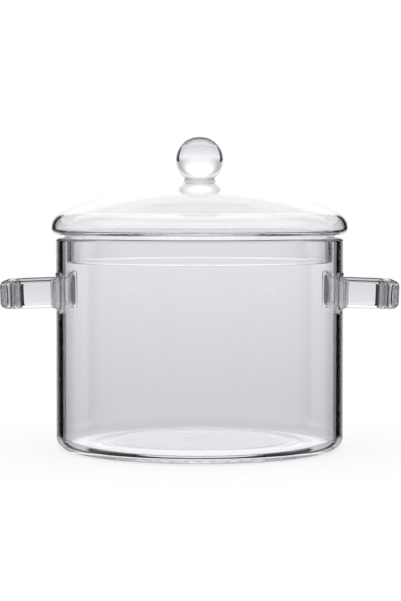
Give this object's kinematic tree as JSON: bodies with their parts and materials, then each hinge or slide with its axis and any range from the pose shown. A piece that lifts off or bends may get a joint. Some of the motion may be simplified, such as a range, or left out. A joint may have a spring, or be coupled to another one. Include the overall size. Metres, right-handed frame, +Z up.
{
  "type": "glass saucepan",
  "caption": "Clear glass saucepan with fused strap loop handles at its sides and a lift-off domed glass lid with a locating collar and a ball knob.",
  "frame": {"origin": "middle of the base, on the surface that the pot stands on", "axes": "+Z up, +X through the right handle, -Y towards the viewer"},
  "size_m": [0.2066, 0.1548, 0.1628],
  "materials": {
    "pot_glass": "clear blown borosilicate glass",
    "handle_glass": "clear solid borosilicate glass",
    "lid_glass": "clear blown borosilicate glass",
    "knob_glass": "clear solid borosilicate glass"
  },
  "bodies": {
    "pot": {"pot_body": "pot_glass", "left_handle": "handle_glass", "right_handle": "handle_glass"},
    "lid": {"lid_shell": "lid_glass", "lid_knob": "knob_glass"}
  },
  "joints": [
    {"name": "lid_lift", "type": "slide", "parent": "pot", "child": "lid", "axis": [0, 0, 1], "range_m": [0, 0.12]}
  ]
}
